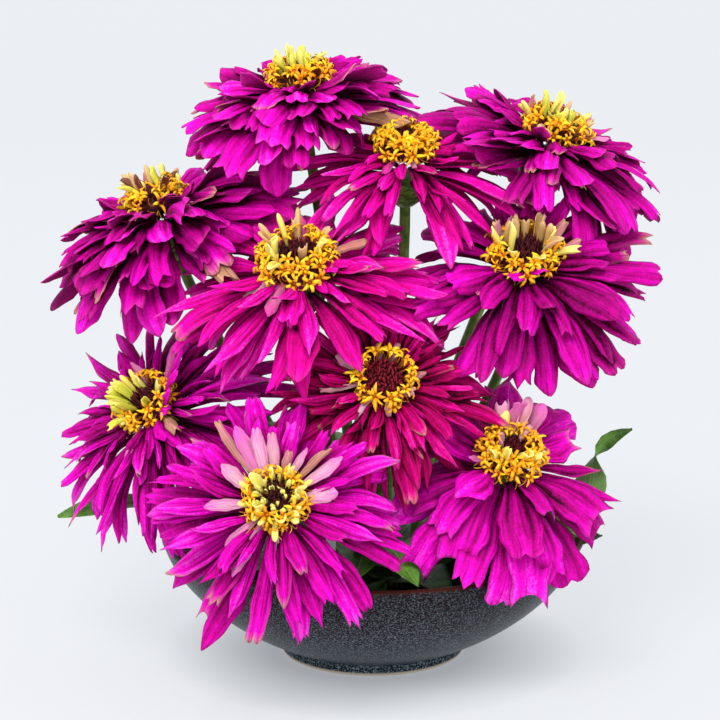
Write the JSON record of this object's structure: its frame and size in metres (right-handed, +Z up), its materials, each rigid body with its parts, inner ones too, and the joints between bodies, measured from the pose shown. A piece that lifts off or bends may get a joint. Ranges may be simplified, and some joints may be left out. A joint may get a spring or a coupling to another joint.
{
  "type": "zinnia flower arrangement in a bowl",
  "caption": "Arrangement of large magenta cactus-type zinnia flowers with stems and leaves, standing on a pin holder in water in a low footed bowl of dark speckled glazed stoneware.",
  "frame": {"origin": "the point on the standing surface under the middle of the whole arrangement's bounding box; the bowl's axis stands 12.2 mm towards +X and 17.5 mm towards +Y from it", "axes": "+Z up, out of the bowl; -Y towards the front, where the lower flowers lean out over the rim; +X to the right seen from the front"},
  "size_m": [0.2832, 0.241, 0.2964],
  "materials": {
    "bowl_glaze": "satin",
    "holder_metal": "satin",
    "water": "gloss",
    "green": "satin",
    "petal": "matte",
    "dark_petal": "matte",
    "floret": "matte"
  },
  "bodies": {
    "root": {"bowl": "bowl_glaze", "pin_holder": "holder_metal", "water": "water", "bloom_1_petals": "petal", "bloom_1_disc": "floret", "bloom_1_stem": "green", "bloom_2_petals": "petal", "bloom_2_disc": "floret", "bloom_2_stem": "green", "bloom_3_petals": "petal", "bloom_3_disc": "floret", "bloom_3_stem": "green", "bloom_4_petals": "petal", "bloom_4_disc": "floret", "bloom_4_stem": "green", "bloom_5_petals": "petal", "bloom_5_disc": "floret", "bloom_5_stem": "green", "bloom_6_petals": "petal", "bloom_6_disc": "floret", "bloom_6_stem": "green", "bloom_7_petals": "petal", "bloom_7_disc": "floret", "bloom_7_stem": "green", "bloom_8_petals": "dark_petal", "bloom_8_disc": "floret", "bloom_8_stem": "green", "bloom_9_petals": "petal", "bloom_9_disc": "floret", "bloom_9_stem": "green", "bloom_10_petals": "petal", "bloom_10_disc": "floret", "bloom_10_stem": "green"}
  },
  "joints": []
}
